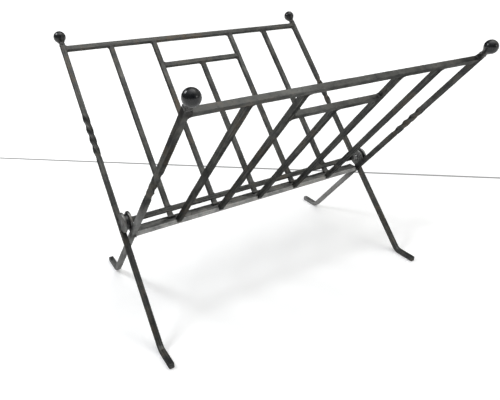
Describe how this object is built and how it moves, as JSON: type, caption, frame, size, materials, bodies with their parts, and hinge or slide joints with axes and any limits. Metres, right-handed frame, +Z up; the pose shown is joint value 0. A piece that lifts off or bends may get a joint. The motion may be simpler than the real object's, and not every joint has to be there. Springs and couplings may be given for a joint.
{
  "type": "magazine rack",
  "caption": "Folding magazine rack: two open frames of square iron bar crossed in an X, with twisted posts, ball finials and riveted ears",
  "frame": {"origin": "on the floor, below the line where the two frames cross, midway between the ends", "axes": "+Z up, X along the rack, +Y towards the side that the back frame leans to"},
  "size_m": [0.4164, 0.4177, 0.3433],
  "materials": {
    "iron_bar": "blackened and waxed forged bar, brushed lengthwise",
    "floor_iron": "forged flat bar worn paler by magazines",
    "ball_iron": "glossy black ball",
    "ear_iron": "ground plate, satin grey",
    "rivet_iron": "peened rivet steel"
  },
  "bodies": {
    "back_frame": {"back_left_post": "iron_bar", "back_left_finial": "ball_iron", "back_left_ear": "ear_iron", "back_right_post": "iron_bar", "back_right_finial": "ball_iron", "back_right_ear": "ear_iron", "back_top_rail": "iron_bar", "back_sub_rail": "iron_bar", "back_bar_1": "iron_bar", "back_bar_2": "iron_bar", "back_bar_3": "iron_bar", "back_bar_4": "iron_bar", "back_bar_5": "iron_bar", "back_lower_rail": "iron_bar", "left_rivet": "rivet_iron", "left_spacer": "ball_iron", "right_rivet": "rivet_iron", "right_spacer": "ball_iron"},
    "front_frame": {"front_left_post": "iron_bar", "front_left_finial": "ball_iron", "front_left_ear": "ear_iron", "front_right_post": "iron_bar", "front_right_finial": "ball_iron", "front_right_ear": "ear_iron", "front_top_rail": "iron_bar", "front_sub_rail": "iron_bar", "front_bar_1": "iron_bar", "front_bar_2": "iron_bar", "front_bar_3": "iron_bar", "front_bar_4": "iron_bar", "front_bar_5": "iron_bar", "floor_bar": "floor_iron", "rest_peg_1": "floor_iron", "rest_peg_2": "floor_iron", "rest_peg_3": "floor_iron", "rest_peg_4": "floor_iron", "rest_peg_5": "floor_iron"}
  },
  "joints": [
    {"name": "fold", "type": "hinge", "parent": "back_frame", "child": "front_frame", "pos_m": [0, 0, 0.1299], "axis": [-1, 0, 0], "range_deg": [0, 86]}
  ]
}
